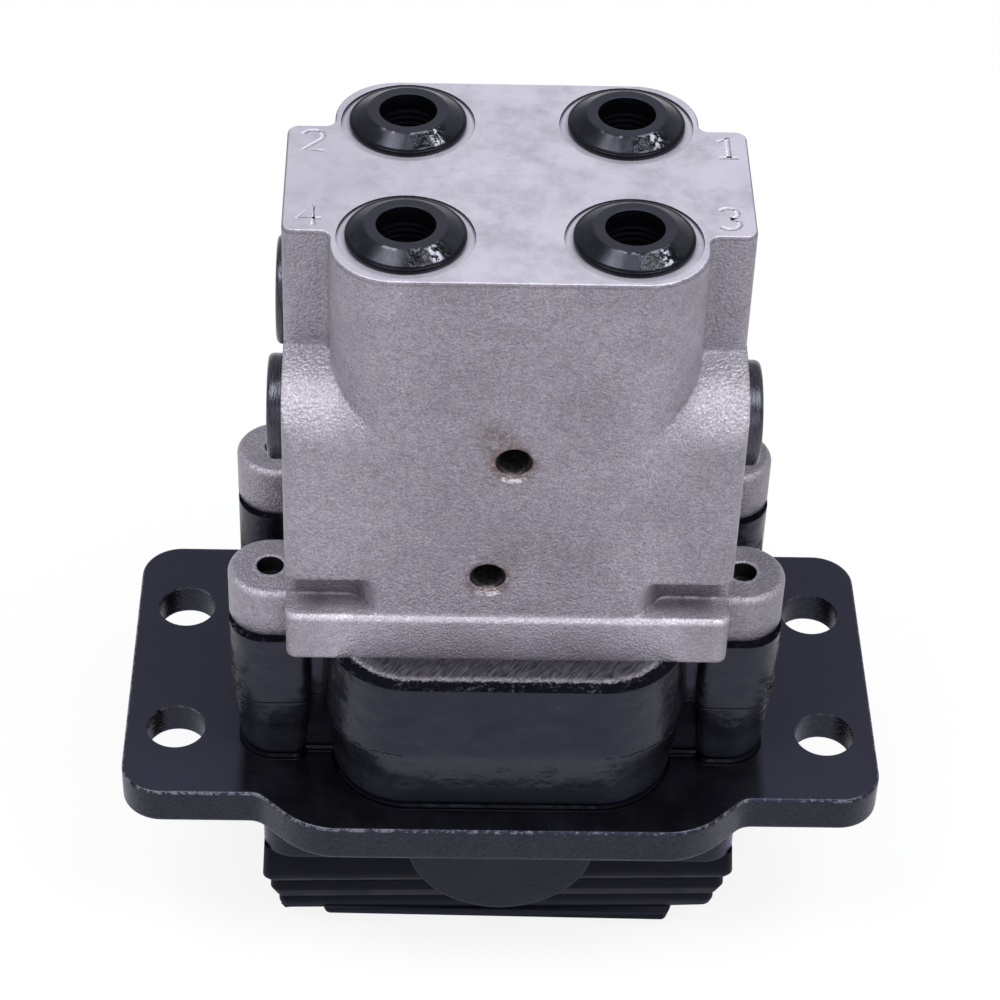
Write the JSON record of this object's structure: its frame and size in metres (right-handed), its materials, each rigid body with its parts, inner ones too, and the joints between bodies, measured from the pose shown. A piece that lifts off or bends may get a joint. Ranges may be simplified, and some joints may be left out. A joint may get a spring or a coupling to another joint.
{
  "type": "pilot control valve",
  "caption": "Pedal-operated hydraulic pilot valve: cast body with plugged ports on a black cover with a mounting plate, rocking cams, push rods, springs, spools and ribbed rubber boots.",
  "frame": {"origin": "Centre of the rectangle of four mounting holes, on the plate's port-side face, which is the face that seats against the floor panel.", "axes": "+Z points from the plate to the work ports, which is up in the picture and down in the machine; +X runs along the plate towards work ports 1 and 3; +Y runs from the front row (ports 4 and 3) to the rear row (ports 2 and 1)."},
  "size_m": [0.171, 0.103, 0.193],
  "materials": {
    "cast_aluminium": "as cast",
    "black_paint": "semi-gloss paint",
    "plug_plastic": "gloss",
    "boot_rubber": "matt",
    "seal_rubber": "matt",
    "cam_iron": "phosphated",
    "ground_steel": "ground",
    "screw_steel": "blackened",
    "spring_steel": "drawn wire",
    "guide_bronze": "turned"
  },
  "bodies": {
    "housing": {"valve_body": "cast_aluminium", "cover_housing": "black_paint", "cover_screws": "screw_steel", "pivot_shaft": "ground_steel", "shaft_lock_screw": "screw_steel", "side_plug_lower_left": "plug_plastic", "side_plug_lower_right": "plug_plastic", "side_plug_upper_left": "plug_plastic", "guide_o_rings": "seal_rubber", "rod_seals": "seal_rubber", "port_plug_1": "plug_plastic", "rod_guide_1": "guide_bronze", "return_spring_1": "spring_steel", "port_plug_2": "plug_plastic", "rod_guide_2": "guide_bronze", "return_spring_2": "spring_steel", "port_plug_3": "plug_plastic", "rod_guide_3": "guide_bronze", "return_spring_3": "spring_steel", "port_plug_4": "plug_plastic", "rod_guide_4": "guide_bronze", "return_spring_4": "spring_steel", "bellows_front": "boot_rubber", "bellows_rear": "boot_rubber"},
    "cam_front": {"cam_front": "cam_iron", "cam_bushes_front": "guide_bronze", "adjusting_screws_front": "screw_steel", "lock_nuts_front": "screw_steel"},
    "cam_rear": {"cam_rear": "cam_iron", "cam_bushes_rear": "guide_bronze", "adjusting_screws_rear": "screw_steel", "lock_nuts_rear": "screw_steel"},
    "push_rod_1": {"push_rod_1": "ground_steel", "spring_seat_1": "ground_steel"},
    "spool_1": {"spool_1": "ground_steel", "metering_spring_1": "spring_steel"},
    "push_rod_2": {"push_rod_2": "ground_steel", "spring_seat_2": "ground_steel"},
    "spool_2": {"spool_2": "ground_steel", "metering_spring_2": "spring_steel"},
    "push_rod_3": {"push_rod_3": "ground_steel", "spring_seat_3": "ground_steel"},
    "spool_3": {"spool_3": "ground_steel", "metering_spring_3": "spring_steel"},
    "push_rod_4": {"push_rod_4": "ground_steel", "spring_seat_4": "ground_steel"},
    "spool_4": {"spool_4": "ground_steel", "metering_spring_4": "spring_steel"}
  },
  "joints": [
    {"name": "cam_front_rock", "type": "hinge", "parent": "housing", "child": "cam_front", "pos_m": [0, -0.02, -0.008], "axis": [0, 1, 0], "range_deg": [-12.4, 12.4], "stiffness_Nm_per_rad": 15, "deforming": ["bellows_front"]},
    {"name": "cam_rear_rock", "type": "hinge", "parent": "housing", "child": "cam_rear", "pos_m": [0, 0.02, -0.008], "axis": [0, 1, 0], "range_deg": [-12.4, 12.4], "stiffness_Nm_per_rad": 15, "deforming": ["bellows_rear"]},
    {"name": "push_rod_1_slide", "type": "slide", "parent": "housing", "child": "push_rod_1", "axis": [0, 0, 1], "range_m": [-0.005, 0.005], "stiffness_N_per_m": 1500, "deforming": ["return_spring_1", "metering_spring_1"]},
    {"name": "spool_1_slide", "type": "slide", "parent": "housing", "child": "spool_1", "axis": [0, 0, 1], "range_m": [-0.001, 0.001], "stiffness_N_per_m": 600},
    {"name": "push_rod_2_slide", "type": "slide", "parent": "housing", "child": "push_rod_2", "axis": [0, 0, 1], "range_m": [-0.005, 0.005], "stiffness_N_per_m": 1500, "deforming": ["return_spring_2", "metering_spring_2"]},
    {"name": "spool_2_slide", "type": "slide", "parent": "housing", "child": "spool_2", "axis": [0, 0, 1], "range_m": [-0.001, 0.001], "stiffness_N_per_m": 600},
    {"name": "push_rod_3_slide", "type": "slide", "parent": "housing", "child": "push_rod_3", "axis": [0, 0, 1], "range_m": [-0.005, 0.005], "stiffness_N_per_m": 1500, "deforming": ["return_spring_3", "metering_spring_3"]},
    {"name": "spool_3_slide", "type": "slide", "parent": "housing", "child": "spool_3", "axis": [0, 0, 1], "range_m": [-0.001, 0.001], "stiffness_N_per_m": 600},
    {"name": "push_rod_4_slide", "type": "slide", "parent": "housing", "child": "push_rod_4", "axis": [0, 0, 1], "range_m": [-0.005, 0.005], "stiffness_N_per_m": 1500, "deforming": ["return_spring_4", "metering_spring_4"]},
    {"name": "spool_4_slide", "type": "slide", "parent": "housing", "child": "spool_4", "axis": [0, 0, 1], "range_m": [-0.001, 0.001], "stiffness_N_per_m": 600}
  ],
  "couplings": [
    {"joint": "push_rod_1_slide", "follows": "cam_rear_rock", "m_per_rad": -0.02275},
    {"joint": "spool_1_slide", "follows": "cam_rear_rock", "m_per_rad": -0.0046},
    {"joint": "push_rod_2_slide", "follows": "cam_rear_rock", "m_per_rad": 0.02275},
    {"joint": "spool_2_slide", "follows": "cam_rear_rock", "m_per_rad": 0.0046},
    {"joint": "push_rod_3_slide", "follows": "cam_front_rock", "m_per_rad": -0.02275},
    {"joint": "spool_3_slide", "follows": "cam_front_rock", "m_per_rad": -0.0046},
    {"joint": "push_rod_4_slide", "follows": "cam_front_rock", "m_per_rad": 0.02275},
    {"joint": "spool_4_slide", "follows": "cam_front_rock", "m_per_rad": 0.0046}
  ]
}
